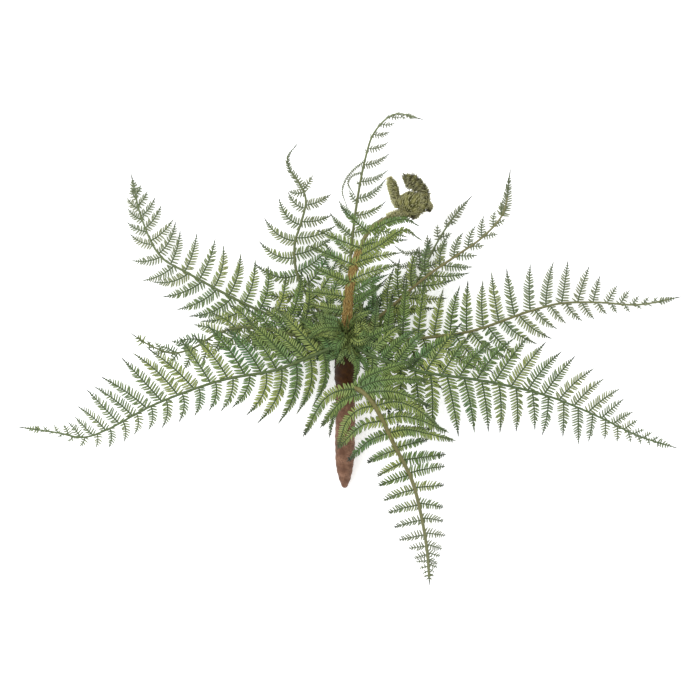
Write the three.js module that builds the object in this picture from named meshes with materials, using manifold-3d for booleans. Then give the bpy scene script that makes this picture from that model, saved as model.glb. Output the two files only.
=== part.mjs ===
// A tuft of bracken fern: ten open fronds and one furled young frond, all rooted in a tapered stake.
// It lies on its back on a flat surface: +Y runs from the stake's point to the crown, and +Z is up,
// towards the upper faces of the fronds. Millimetres.

import * as THREE from "three";
import { mergeVertices } from "three/addons/utils/BufferGeometryUtils.js";
import Module from "manifold-3d";

const wasm = await Module();
wasm.setup();

// Driving dimensions: the stake

const STAKE_POINT = new THREE.Vector3(-5, -126.5, 5.2);
const CROWN = new THREE.Vector3(-3.6, -2.7, 52);
const STAKE_RADIUS = 9;
const COLLAR_RADIUS = 10.2;
const COLLAR_LENGTH = 26;
const COLLAR_SLOPE = 6;
const COLLAR_CHAMFER = 0.8;
const STAKE_WAIST_SHARE = 0.97;
const STAKE_SIDES = 14;

// The stake's rounded point: shares of its radius, and how far each is from the very tip

const STAKE_POINT_PROFILE = [[0, 0], [0.28, 1.5], [0.56, 8], [0.8, 17], [0.95, 28], [1, 42]];

// Driving dimensions: how the stems stand in the stake

const RING_RADIUS = 7.2;
const RING_FIRST_DEG = 120;
const RING_STEP_DEG = 300 / 8;
const STEM_DEPTH = 20;
const STEM_RISE = 9;
const SIDE_STEM_DROP = 38;
const HOLE_GAP = 0.37;

// Driving dimensions: a frond's stem, pinnae (side branches) and leaflets

const STEM_SIDES = 6;
const STEM_RADIUS = 1.6;
const FRONT_STEM_RADIUS = 2.2;
const STEM_TIP_RADIUS = 0.7;
const STEM_STEP = 16;
const STEM_TIP_BARE = 2;
const BLADE_THICKNESS = 0.7;
const RIB_HALF_WIDTH = 0.7;
const LEAFLET_REACH = 6;
const LEAFLET_PITCH = 21;
const LEAFLET_LEAN = 0.85;
const LEAFLET_TAPER = 0.7;
const LEAFLET_TAPER_POWER = 1.4;
const SHORTEST_PINNA = 4.5;
const LEFT_STAGGER = 0.4;
const RIGHT_STAGGER = 0.6;
const TIP_CROWDING = 1.25;
const FIRST_PINNA_SHARE = 0.85;
const TIP_TAPER = 1.3;
const TIP_TAPER_POWER = 0.9;
const THINNING_RUN = 0.1;
const NARROWEST_REACH_SHARE = 0.35;

// Driving dimensions: the young frond

const STALK_STEP = 6;
const STALK_RADIUS = 4.2;
const STALK_NECK_RADIUS = 2.8;
const COIL_TUBE_RADIUS = 6;
const COIL_END_RADIUS = 3.4;
const COIL_CENTRE = new THREE.Vector3(55.5, 138, 80);
const COIL_START_RADIUS = 20;
const COIL_END_TURN_RADIUS = 7.5;
const COIL_START_DEG = -125;
const COIL_END_DEG = 165;
const COIL_POINTS = 9;
const COIL_SIDES = 8;
const COIL_KNOB = 0.13;
const COIL_SHARE = 0.68;
const COIL_SWELL_SHARE = 0.3;

// Edges shorter than this, left where solids cross, are smoothed away

const FINEST_EDGE = 0.02;
const UP = new THREE.Vector3(0, 0, 1);

// The open fronds, in the order of their stems round the crown. Each route leads from the crown to the
// tip. leafy is where the first pinna grows, and pinna is the longest pinna. left and right are the angles
// of the pinnae to the stem, at the first pinna and at the tip. sweep turns the pinnae of either side
// towards the tip, and droop bends them down. thin is the place where a frond thins out, with the share of
// the pinnae's length that is left there on either side.

const FRONDS = [
  {
    name: "frond_left_low",
    route: [[-28, -4, 65], [-66, -19, 71], [-114, -28, 73], [-175, -50, 65], [-219, -73, 47],
      [-241, -80, 37], [-264, -76, 29], [-300, -71, 19]],
    leafy: 36, pairs: 18, pinna: 50, left: [72, 64], right: [78, 68], sweep: [0, 6], droop: 0.14,
    face: [0.1, 0, 1], thin: [0.6, 0.6, 1],
  },
  {
    name: "frond_left_middle",
    route: [[-24, 4, 57], [-62, 15, 58], [-98, 19, 56], [-120, 13, 53], [-140, 1, 50],
      [-160, -4, 47], [-182, 4, 44], [-196, 13, 43]],
    leafy: 34, pairs: 12, pinna: 28, left: [58, 60], right: [52, 60], sweep: [14, 14], droop: 0.08,
    face: [0, 0, 1],
  },
  {
    name: "frond_left_high",
    route: [[-22, 10, 51], [-58, 24, 46], [-98, 42, 38], [-146, 68, 25], [-172, 84, 16],
      [-190, 120, 7], [-199, 158, 4]],
    leafy: 38, pairs: 16, pinna: 42, left: [66, 62], right: [82, 80], sweep: [18, 16], droop: 0.1,
    face: [0, 0, 1],
  },
  {
    name: "frond_top_left",
    route: [[-16, 20, 42], [-36, 44, 32], [-48, 68, 27], [-50, 95, 23], [-44, 117, 21],
      [-41, 136, 21], [-55, 160, 28], [-48, 184, 40]],
    leafy: 38, pairs: 14, pinna: 36, left: [82, 80], right: [62, 60], sweep: [24, 10], droop: 0.08,
    face: [0, 0, 1], thin: [0.62, 0.25, 0.8],
  },
  {
    name: "frond_top",
    route: [[-4, 24, 30], [-2, 50, 18], [1, 89, 14], [6, 131, 13], [14, 173, 14],
      [22, 196, 17], [40, 212, 25], [65, 207, 36]],
    leafy: 48, pairs: 15, pinna: 32, left: [62, 60], right: [66, 60], sweep: [14, 16], droop: 0.06,
    face: [-0.2, 0, 1], thin: [0.5, 0.15, 0.9],
  },
  {
    name: "frond_top_right_small",
    route: [[8, 20, 32], [40, 38, 18], [60, 60, 11], [80, 98, 9], [93, 118, 9], [110, 138, 14]],
    leafy: 62, pairs: 10, pinna: 24, left: [58, 60], right: [56, 60], sweep: [18, 18], droop: 0.06,
    face: [0, 0, 1],
  },
  {
    name: "frond_top_right",
    route: [[12, 16, 45], [42, 42, 37], [70, 66, 33], [96, 84, 30], [120, 101, 30],
      [138, 122, 34], [144, 160, 50]],
    leafy: 34, pairs: 15, pinna: 36, left: [54, 46], right: [48, 36], sweep: [10, 8], droop: 0.08,
    face: [0.1, 0.1, 1], thin: [0.5, 0.85, 0.3],
  },
  {
    name: "frond_right_high",
    route: [[20, 6, 53], [70, 10, 50], [110, 16, 43], [163, 34, 28], [191, 41, 20],
      [225, 42, 12], [262, 40, 7], [300, 47, 4]],
    leafy: 34, pairs: 18, pinna: 45, left: [84, 72], right: [66, 76], sweep: [4, 14], droop: 0.1,
    face: [0, 0, 1],
  },
  {
    name: "frond_right_low",
    route: [[18, -6, 64], [66, -21, 72], [108, -27, 73], [145, -34, 69], [182, -44, 60],
      [223, -61, 45], [261, -79, 30], [296, -90, 18]],
    leafy: 44, pairs: 18, pinna: 50, left: [68, 74], right: [76, 58], sweep: [9, -4], droop: 0.14,
    face: [-0.1, 0, 1],
  },
  {
    name: "frond_front",
    route: [[-1, -36, 75], [7, -36, 88], [17, -44, 93], [26, -58, 93], [39, -85, 86], [55, -117, 72],
      [63, -146, 58], [69, -179, 43], [72, -213, 29]],
    leafy: 47, pairs: 16, pinna: 56, left: [70, 64], right: [102, 78], sweep: [8, 5], droop: 0.2,
    face: [0, 0.4, 1], thin: [0.25, 1, 0.75],
    fromSide: true,
  },
];

// The young frond's stalk rises out of the crown's centre to the coil. Its pinnae are short.

const YOUNG_FROND = {
  route: [[-2, 36, 63], [2, 66, 70], [8, 86, 74], [18, 106, 77]],
  leafy: 48, leafEnd: 142, pairs: 7, pinna: 40, left: [84, 90], right: [56, 46], sweep: [4, -6],
  droop: -0.04, face: [0, 0, 1],
};
const FURLED_PINNA = {
  route: [[24, 112, 77], [31, 121, 81], [32, 140, 85], [34, 155, 86]],
  radius: 4.6, tip: 3.2,
};

// Materials

const frondGreen = new THREE.MeshStandardMaterial({ color: "#65804a", roughness: 0.55, metalness: 0 });
const youngOlive = new THREE.MeshStandardMaterial({ color: "#7e7a4c", roughness: 0.75, metalness: 0 });
const stakeBrown = new THREE.MeshStandardMaterial({ color: "#7a5f4c", roughness: 0.7, metalness: 0 });

// Solids: a closed geometry becomes a solid that can be cut and joined, and back

function solidOf(geometry) {
  geometry.deleteAttribute("normal");
  geometry.deleteAttribute("uv");
  const merged = mergeVertices(geometry, 1e-4);
  return new wasm.Manifold(
    new wasm.Mesh({
      numProp: 3,
      vertProperties: merged.attributes.position.array,
      triVerts: new Uint32Array(merged.index.array),
    }),
  );
}

function geometryOf(solid) {
  const mesh = solid.simplify(FINEST_EDGE).getMesh();
  const geometry = new THREE.BufferGeometry();
  geometry.setAttribute("position", new THREE.BufferAttribute(mesh.vertProperties, 3));
  geometry.setIndex(new THREE.BufferAttribute(mesh.triVerts, 1));
  return geometry.toNonIndexed();
}

// Moves every vertex of a geometry to the place that the rule gives for it.
function warp(geometry, rule) {
  const position = geometry.attributes.position;
  const vertex = new THREE.Vector3();
  for (let i = 0; i < position.count; i++) {
    vertex.fromBufferAttribute(position, i);
    const moved = rule(vertex);
    position.setXYZ(i, moved.x, moved.y, moved.z);
  }
  return geometry;
}

// Frames: right, ahead and up at a point of a curve, with up as near to the face direction as it can be

function frameOf(point, ahead, face) {
  const up = face.clone().addScaledVector(ahead, -face.dot(ahead)).normalize();
  const right = new THREE.Vector3().crossVectors(ahead, up);
  return { point, ahead, up, right };
}

// Frames at equal steps along a curve
function framesAlong(curve, face, step) {
  const steps = Math.round(curve.getLength() / step);
  const frames = [];
  for (let i = 0; i <= steps; i++) {
    frames.push(frameOf(curve.getPointAt(i / steps), curve.getTangentAt(i / steps), face));
  }
  return frames;
}

// The frame at a share of the length, on the straight run between two steps
function frameBetween(frames, share, face) {
  const place = share * (frames.length - 1);
  const step = Math.min(Math.floor(place), frames.length - 2);
  const [from, to] = [frames[step].point, frames[step + 1].point];
  return frameOf(from.clone().lerp(to, place - step), to.clone().sub(from).normalize(), face);
}

// A round stem along the frames. radiusAt gives its radius at a share of the length, and grow makes it
// fatter.
function stemGeometry(frames, radiusAt, sides, grow = 0) {
  const steps = frames.length - 1;
  const straight = new THREE.CylinderGeometry(1, 1, 1, sides, steps);
  return warp(straight, (v) => {
    const step = Math.round((v.y + 0.5) * steps);
    const { point, ahead, up, right } = frames[step];
    const radius = radiusAt(step / steps, v) + grow;
    return point
      .clone()
      .addScaledVector(right, v.x * radius)
      .addScaledVector(up, v.z * radius)
      .addScaledVector(ahead, step === 0 ? -grow : 0);
  });
}

// The stake's own axes: along it, across it and up from it

const stakeAlong = CROWN.clone().sub(STAKE_POINT).normalize();
const stakeUp = UP.clone().addScaledVector(stakeAlong, -UP.dot(stakeAlong)).normalize();
const stakeAcross = new THREE.Vector3().crossVectors(stakeAlong, stakeUp);

// The two points that hold a stem in its hole: one deep in the stake and one just out of it

function ringSeat(index) {
  const angle = THREE.MathUtils.degToRad(RING_FIRST_DEG + index * RING_STEP_DEG);
  const outward = new THREE.Vector3()
    .addScaledVector(stakeAcross, Math.cos(angle))
    .addScaledVector(stakeUp, Math.sin(angle));
  const onRing = CROWN.clone().addScaledVector(outward, RING_RADIUS);
  return [
    onRing.clone().addScaledVector(stakeAlong, -STEM_DEPTH),
    onRing.clone().addScaledVector(stakeAlong, STEM_RISE),
  ];
}

function sideSeat() {
  const onAxis = CROWN.clone().addScaledVector(stakeAlong, -SIDE_STEM_DROP);
  return [onAxis, onAxis.clone().addScaledVector(UP, COLLAR_RADIUS + STEM_RISE)];
}

function centreSeat() {
  return [
    CROWN.clone().addScaledVector(stakeAlong, -STEM_DEPTH),
    CROWN.clone().addScaledVector(stakeAlong, STEM_RISE),
  ];
}

function curveThrough(points) {
  return new THREE.CatmullRomCurve3(points, false, "centripetal");
}

// Pinnae: a thin blade along a drooping rib, its outline cut to the rib between the leaflets

function pinnaShape(length, reach) {
  const pairs = Math.round(length / LEAFLET_PITCH);
  const pitch = length / (pairs + 1 / 2);
  const edge = [];
  for (let k = 0; k < pairs; k++) {
    const taper = 1 - LEAFLET_TAPER * (k / pairs) ** LEAFLET_TAPER_POWER;
    if (k > 0) edge.push([k * pitch, RIB_HALF_WIDTH]);
    edge.push([(k + LEAFLET_LEAN) * pitch, RIB_HALF_WIDTH + reach * taper]);
  }
  const shape = new THREE.Shape();
  shape.moveTo(0, -RIB_HALF_WIDTH);
  edge.forEach(([along, out]) => shape.lineTo(along, -out));
  shape.lineTo(length, 0);
  edge.reverse().forEach(([along, out]) => shape.lineTo(along, out));
  shape.lineTo(0, RIB_HALF_WIDTH);
  return shape;
}

// The rib of one pinna. side is -1 on the left and 1 on the right of the stem.
function pinnaRib(frame, side, length, angleDeg, sweepDeg, droop) {
  const heading = (degrees) => {
    const angle = THREE.MathUtils.degToRad(degrees);
    return frame.ahead
      .clone()
      .multiplyScalar(Math.cos(angle))
      .addScaledVector(frame.right, side * Math.sin(angle));
  };
  const middle = frame.point.clone().addScaledVector(heading(angleDeg), length / 2);
  const end = frame.point.clone().addScaledVector(heading(angleDeg - sweepDeg), length);
  end.addScaledVector(frame.up, -droop * length);
  return new THREE.QuadraticBezierCurve3(frame.point, middle, end);
}

function pinnaGeometry(rib, up, length, reach) {
  const blade = new THREE.ExtrudeGeometry(pinnaShape(length, reach), {
    depth: BLADE_THICKNESS,
    bevelEnabled: false,
  });
  return warp(blade, (v) => {
    const share = v.x / length;
    const ahead = rib.getTangent(share);
    const across = new THREE.Vector3().crossVectors(up, ahead).normalize();
    const above = new THREE.Vector3().crossVectors(ahead, across);
    return rib
      .getPoint(share)
      .addScaledVector(across, v.y)
      .addScaledVector(above, v.z - BLADE_THICKNESS / 2);
  });
}

// How long a pinna is, as a share of the longest: a little short at the base, and tapering to the tip.
// q is its place along the leafy length.
function pinnaShare(q) {
  return Math.min(1, FIRST_PINNA_SHARE + q, TIP_TAPER * (1 - q) ** TIP_TAPER_POWER);
}

// The share of a pinna's length that is left where its frond thins out
function thinnedShare(frond, q, side) {
  if (!frond.thin) return 1;
  const [place, left, right] = frond.thin;
  const gone = THREE.MathUtils.clamp((q - place + THINNING_RUN) / (2 * THINNING_RUN), 0, 1);
  return 1 + ((side < 0 ? left : right) - 1) * gone;
}

// All the pinnae of a frond, as solids. leafy and leafEnd are lengths along the stem.
function pinnae(frond, frames, length, face) {
  const leafEnd = frond.leafEnd ?? length - STEM_TIP_BARE;
  const made = [];
  for (let i = 0; i < frond.pairs; i++) {
    for (const side of [-1, 1]) {
      const place = (i + (side < 0 ? LEFT_STAGGER : RIGHT_STAGGER)) / frond.pairs;
      const q = 1 - (1 - place) ** TIP_CROWDING;
      const along = (frond.leafy + q * (leafEnd - frond.leafy)) / length;
      const share = pinnaShare(q) * thinnedShare(frond, q, side);
      const pinnaLength = Math.max(SHORTEST_PINNA, frond.pinna * share);
      const fullness = pinnaLength / frond.pinna;
      const reach = LEAFLET_REACH * (NARROWEST_REACH_SHARE + (1 - NARROWEST_REACH_SHARE) * fullness);
      const frame = frameBetween(frames, along, face);
      const [first, last] = side < 0 ? frond.left : frond.right;
      const sweep = frond.sweep[side < 0 ? 0 : 1];
      const angle = first + (last - first) * q;
      const rib = pinnaRib(frame, side, pinnaLength, angle, sweep, frond.droop);
      made.push(solidOf(pinnaGeometry(rib, frame.up, pinnaLength, reach)));
    }
  }
  return made;
}

// An open frond, with the hole that its stem needs in the stake

function openFrond(frond, seat) {
  const curve = curveThrough([...seat, ...frond.route.map((p) => new THREE.Vector3(...p))]);
  const face = new THREE.Vector3(...frond.face);
  const frames = framesAlong(curve, face, STEM_STEP);
  const base = frond.fromSide ? FRONT_STEM_RADIUS : STEM_RADIUS;
  const radiusAt = (share) => base + (STEM_TIP_RADIUS - base) * share;
  const stem = (grow) => solidOf(stemGeometry(frames, radiusAt, STEM_SIDES, grow));
  return {
    solid: wasm.Manifold.union([stem(0), ...pinnae(frond, frames, curve.getLength(), face)]),
    hole: stem(HOLE_GAP),
  };
}

// The young frond: a thick stalk that ends in a knobbly coil, short pinnae, and a furled one beside the coil

function coilPoints() {
  const points = [];
  for (let i = 0; i <= COIL_POINTS; i++) {
    const share = i / COIL_POINTS;
    const angle = THREE.MathUtils.degToRad(COIL_START_DEG + share * (COIL_END_DEG - COIL_START_DEG));
    const radius = COIL_START_RADIUS + share * (COIL_END_TURN_RADIUS - COIL_START_RADIUS);
    const outward = new THREE.Vector3(Math.cos(angle), Math.sin(angle), 0);
    points.push(COIL_CENTRE.clone().addScaledVector(outward, radius));
  }
  return points;
}

function youngFrond(seat) {
  const route = YOUNG_FROND.route.map((p) => new THREE.Vector3(...p));
  const curve = curveThrough([...seat, ...route, ...coilPoints()]);
  const face = new THREE.Vector3(...YOUNG_FROND.face);
  const frames = framesAlong(curve, face, STALK_STEP);
  const steps = frames.length - 1;
  const radiusAt = (share, v) => {
    const inStalk = Math.min(1, share / COIL_SHARE);
    const stalkRadius = STALK_RADIUS + (STALK_NECK_RADIUS - STALK_RADIUS) * inStalk ** 2;
    if (inStalk < 1) return stalkRadius;
    const inCoil = (share - COIL_SHARE) / (1 - COIL_SHARE);
    const swell = Math.min(1, inCoil / COIL_SWELL_SHARE);
    const plain = STALK_NECK_RADIUS + (COIL_TUBE_RADIUS - STALK_NECK_RADIUS) * swell;
    const taper = plain + (COIL_END_RADIUS - COIL_TUBE_RADIUS) * inCoil ** 2;
    const corner = Math.round((Math.atan2(v.x, v.z) / (2 * Math.PI)) * COIL_SIDES + COIL_SIDES);
    const knob = (corner + Math.round(share * steps)) % 2 === 0 ? COIL_KNOB : -COIL_KNOB;
    return taper * (1 + knob);
  };
  const stalk = (grow) => solidOf(stemGeometry(frames, radiusAt, COIL_SIDES, grow));
  const furledCurve = curveThrough(FURLED_PINNA.route.map((p) => new THREE.Vector3(...p)));
  const furledRadius = (share) => FURLED_PINNA.radius + (FURLED_PINNA.tip - FURLED_PINNA.radius) * share ** 2;
  const furledFrames = framesAlong(furledCurve, face, STALK_STEP);
  const furled = solidOf(stemGeometry(furledFrames, furledRadius, COIL_SIDES));
  return {
    solid: wasm.Manifold.union([stalk(0), furled, ...pinnae(YOUNG_FROND, frames, curve.getLength(), face)]),
    hole: stalk(HOLE_GAP),
  };
}

// The stake: a turned bullet with a collar at its top, drilled for every stem

function stake(holes) {
  const length = CROWN.distanceTo(STAKE_POINT);
  const collarFoot = length - COLLAR_LENGTH;
  const profile = STAKE_POINT_PROFILE.map(([share, along]) => new THREE.Vector2(share * STAKE_RADIUS, along));
  profile.push(
    new THREE.Vector2(STAKE_WAIST_SHARE * STAKE_RADIUS, collarFoot - COLLAR_SLOPE),
    new THREE.Vector2(COLLAR_RADIUS, collarFoot),
    new THREE.Vector2(COLLAR_RADIUS, length - COLLAR_CHAMFER),
    new THREE.Vector2(COLLAR_RADIUS - COLLAR_CHAMFER, length),
    new THREE.Vector2(0, length),
  );
  const turned = warp(new THREE.LatheGeometry(profile, STAKE_SIDES), (v) =>
    CROWN.clone()
      .addScaledVector(stakeAlong, v.y - length)
      .addScaledVector(stakeAcross, v.x)
      .addScaledVector(stakeUp, v.z),
  );
  return holes.reduce((body, hole) => body.subtract(hole), solidOf(turned));
}

// The assembly

const tuft = new THREE.Group();
tuft.name = "bracken_tuft";

function addNode(name, solid, material) {
  const mesh = new THREE.Mesh(geometryOf(solid), material);
  mesh.name = name;
  tuft.add(mesh);
}

const holes = [];
FRONDS.forEach((frond, index) => {
  const made = openFrond(frond, frond.fromSide ? sideSeat() : ringSeat(index));
  addNode(frond.name, made.solid, frondGreen);
  holes.push(made.hole);
});
const young = youngFrond(centreSeat());
addNode("young_frond", young.solid, youngOlive);
holes.push(young.hole);
addNode("stake", stake(holes), stakeBrown);

// The origin is under the middle of the tuft, on the surface that it lies on

const box = new THREE.Box3().setFromObject(tuft);
const middle = box.getCenter(new THREE.Vector3());
tuft.position.set(-middle.x, -middle.y, -box.min.z);

export default tuft;
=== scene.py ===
# %% [markdown]
# # A tuft of bracken fern on a stake
#
# The tuft lies on its back on a pale floor: ten open fronds, one young frond that is still curled
# up, and the stake that they are all rooted in. The solids of the part give each frond its place,
# its bend and its outline. This lesson dresses them: every frond is grown again leaflet by leaflet,
# close to the same outline, and the stake is turned again with a finer surface.
#
# We start by loading the solids as a fixed frame.

import math

import bpy
import numpy as np
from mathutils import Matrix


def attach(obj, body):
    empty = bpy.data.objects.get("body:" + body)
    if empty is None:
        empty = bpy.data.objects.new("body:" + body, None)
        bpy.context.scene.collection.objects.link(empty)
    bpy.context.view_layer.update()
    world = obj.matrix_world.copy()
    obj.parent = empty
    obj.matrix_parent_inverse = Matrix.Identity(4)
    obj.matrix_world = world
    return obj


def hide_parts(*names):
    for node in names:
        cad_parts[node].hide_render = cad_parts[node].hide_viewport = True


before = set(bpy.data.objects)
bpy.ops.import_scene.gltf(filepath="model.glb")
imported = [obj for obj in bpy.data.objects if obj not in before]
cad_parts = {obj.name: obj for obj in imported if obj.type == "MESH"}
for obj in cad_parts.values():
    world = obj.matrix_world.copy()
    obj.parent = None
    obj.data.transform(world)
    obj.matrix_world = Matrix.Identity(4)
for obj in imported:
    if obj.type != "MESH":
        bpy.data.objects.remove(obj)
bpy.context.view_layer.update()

# %% [markdown]
# ## Where every frond runs
#
# A frond of bracken has a stem, pairs of side branches called pinnae, and comb-like leaflets along
# both sides of each pinna. A frond could be drawn by hand as a picture of a leaf, but then every
# frond would be a new drawing. A rule is better: each frond is a row of points that its stem passes
# through, and a few numbers that say how its pinnae stand. The points are those of the solids, in
# millimetres, so the leaves land on them. Only the end of the top left frond curls more than its
# solid does.
#
# `leafy` is where the first pinna grows on the left and on the right, `pinna` is the longest one, and
# `left` and `right` are the angles of the pinnae to the stem at the first one and at the tip. `sweep`
# turns the ends of the left and right pinnae towards the frond's tip, `droop` bends them down, and
# `face` is the side that the leaf turns up. `base` makes the pinnae next to the crown longer, which
# fills the middle of the tuft. `thin` is where the left and the right pinnae get shorter and how much
# of their length is left, and `slim` is how much is left towards the tip. `lean` and `crowd` are for
# the last pinnae: how many degrees they turn towards the tip, and how close they stand. `tip` is the
# share of the frond that has single leaflets instead of pinnae, and how long these are. `full` is the
# size of the leaflets, and `taper` is how much of it is lost at the end of a pinna. `tan` and `pale`
# are for the finishes: how brown the stem is, and how washed out the tip. What most fronds share is
# written once, in `PLAIN`.

# %% Routes and sizes
MM = 0.001
TO_ROW = np.array([0.023, -0.653, -3.302])
STAKE_POINT = np.array([-5, -126.5, 5.2])
CROWN = np.array([-3.6, -2.7, 52])
PLAIN = dict(
    leafy=(34, 34), leaf_end=None, droop=0.08, face=(0, 0, 1), lift=((0, 1), (0, 0)), base=1, slim=1,
    lean=28, crowd=1, tip=(0.06, 6), taper=0.85)
FRONDS = {
    "frond_left_low": dict(
        PLAIN, pinna=52, leafy=(40, 34), left=(84, 88), right=(78, 66), sweep=(26, 6), droop=0.14,
        face=(0.1, 0, 1), thin=((0.24, 0.5), (0.38, 1.08)), slim=0.4, full=1.03, tan=0.05, pale=0.4,
        route=[(-28, -4, 65), (-66, -19, 71), (-114, -28, 73), (-175, -50, 65), (-219, -73, 47),
               (-241, -80, 37), (-264, -76, 29), (-300, -71, 19)]),
    "frond_left_middle": dict(
        PLAIN, pinna=28, left=(58, 60), right=(52, 60), sweep=(14, 14), thin=((0.6, 1), (0.6, 1)),
        slim=0.6, base=1.3, full=0.85, tan=0.2, pale=0.3,
        route=[(-24, 4, 57), (-62, 15, 58), (-98, 19, 56), (-120, 13, 53), (-140, 1, 50), (-160, -4, 47),
               (-182, 4, 44), (-196, 13, 43)]),
    "frond_left_high": dict(
        PLAIN, pinna=42, left=(78, 62), right=(104, 84), sweep=(20, 18), droop=0.1,
        thin=((0.6, 0.82), (0.6, 1)), base=1.1, full=0.9, tan=0.1, pale=0.65,
        route=[(-22, 10, 51), (-58, 24, 46), (-98, 42, 38), (-146, 68, 25), (-172, 84, 16), (-190, 120, 7),
               (-199, 158, 4)]),
    "frond_top_left": dict(
        PLAIN, pinna=39, left=(100, 92), right=(86, 76), sweep=(32, 16), thin=((0.66, 0.5), (0.66, 0.6)),
        slim=0.8, tip=(0.26, 7), base=1.2, full=0.88, tan=0.2, pale=0.75,
        route=[(-16, 20, 42), (-36, 44, 32), (-48, 68, 27), (-50, 95, 23), (-44, 115, 21), (-40, 135, 21),
               (-46, 150, 24), (-55, 163, 29), (-56, 173, 34), (-48, 184, 40)]),
    "frond_top": dict(
        PLAIN, pinna=33, left=(62, 60), right=(84, 84), sweep=(14, 26), droop=0.06, face=(-0.2, 0, 1),
        thin=((0.5, 0.12), (0.5, 0.95)), slim=0.75, base=1.3, full=0.42, tan=0.25, pale=1.0,
        route=[(-4, 24, 30), (-2, 50, 18), (1, 89, 14), (6, 131, 13), (14, 173, 14), (22, 196, 17),
               (40, 212, 25), (65, 207, 36)]),
    "frond_top_right_small": dict(
        PLAIN, pinna=24, left=(58, 60), right=(56, 60), sweep=(18, 18), droop=0.06,
        thin=((0.55, 0.9), (0.55, 0.8)), slim=0.5, base=1.4, tip=(0.16, 7), full=0.6, tan=0.2, pale=0.9,
        route=[(8, 20, 32), (40, 38, 18), (60, 60, 11), (80, 98, 9), (93, 118, 9), (110, 138, 14)]),
    "frond_top_right": dict(
        PLAIN, pinna=36, left=(62, 60), right=(48, 36), sweep=(14, 8), face=(0.1, 0.1, 1),
        thin=((0.5, 0.65), (0.5, 0.4)), slim=0.8, tip=(0.2, 11), base=1.15, full=0.7, tan=0.6, pale=0.75,
        route=[(12, 16, 45), (42, 42, 37), (70, 66, 33), (96, 84, 30), (120, 101, 30), (138, 122, 34),
               (144, 160, 50)]),
    "frond_right_high": dict(
        PLAIN, pinna=48, left=(84, 72), right=(66, 76), sweep=(4, 14), droop=0.1,
        thin=((0.5, 0.95), (0.5, 0.55)), slim=0.45, full=0.95, tan=0.4, pale=0.8,
        route=[(20, 6, 53), (70, 10, 50), (110, 16, 43), (163, 34, 28), (191, 41, 20), (225, 42, 12),
               (262, 40, 7), (300, 47, 4)]),
    "frond_right_low": dict(
        PLAIN, pinna=50, leafy=(34, 44), left=(68, 74), right=(76, 58), sweep=(9, -4), droop=0.14,
        face=(-0.1, 0, 1), thin=((0.45, 1), (0.45, 0.8)), slim=0.5, full=1.1, tan=0.0, pale=0.5,
        route=[(18, -6, 64), (66, -21, 72), (108, -27, 73), (145, -34, 69), (182, -44, 60), (223, -61, 45),
               (261, -79, 30), (296, -90, 18)]),
    "frond_front": dict(
        PLAIN, pinna=46, leafy=(104, 110), left=(74, 62), right=(108, 90), sweep=(8, 14), droop=0.2,
        face=(0, 0.4, 1), thin=((0.28, 0.6), (0.08, 0.6)), slim=0.75, full=1.05, lean=4, crowd=0.5,
        taper=0.5, tan=0.5, pale=0.85,
        route=[(-1, -36, 75), (7, -36, 88), (17, -44, 93), (26, -58, 93), (39, -85, 86), (55, -117, 72),
               (63, -146, 58), (69, -179, 43), (72, -213, 29)]),
}
print("open fronds:", len(FRONDS))

# %% [markdown]
# The young frond is given in the same way. Its `leaf_end` is where its pinnae stop, and its `lift` is
# how high they sit on its thick stalk, as a row of places along it and a row of heights.
#
# A few pinnae keep out of the rows: broad ones that cover where the front frond leaves the stake, thin
# loops beside the top frond, fine curved ones on the small frond at its right, and two with hooked
# ends on the young frond. Each has its own points, after a number for how full its leaflets are and
# its place along the frond. The first point lies on the stem that carries it.

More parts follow.
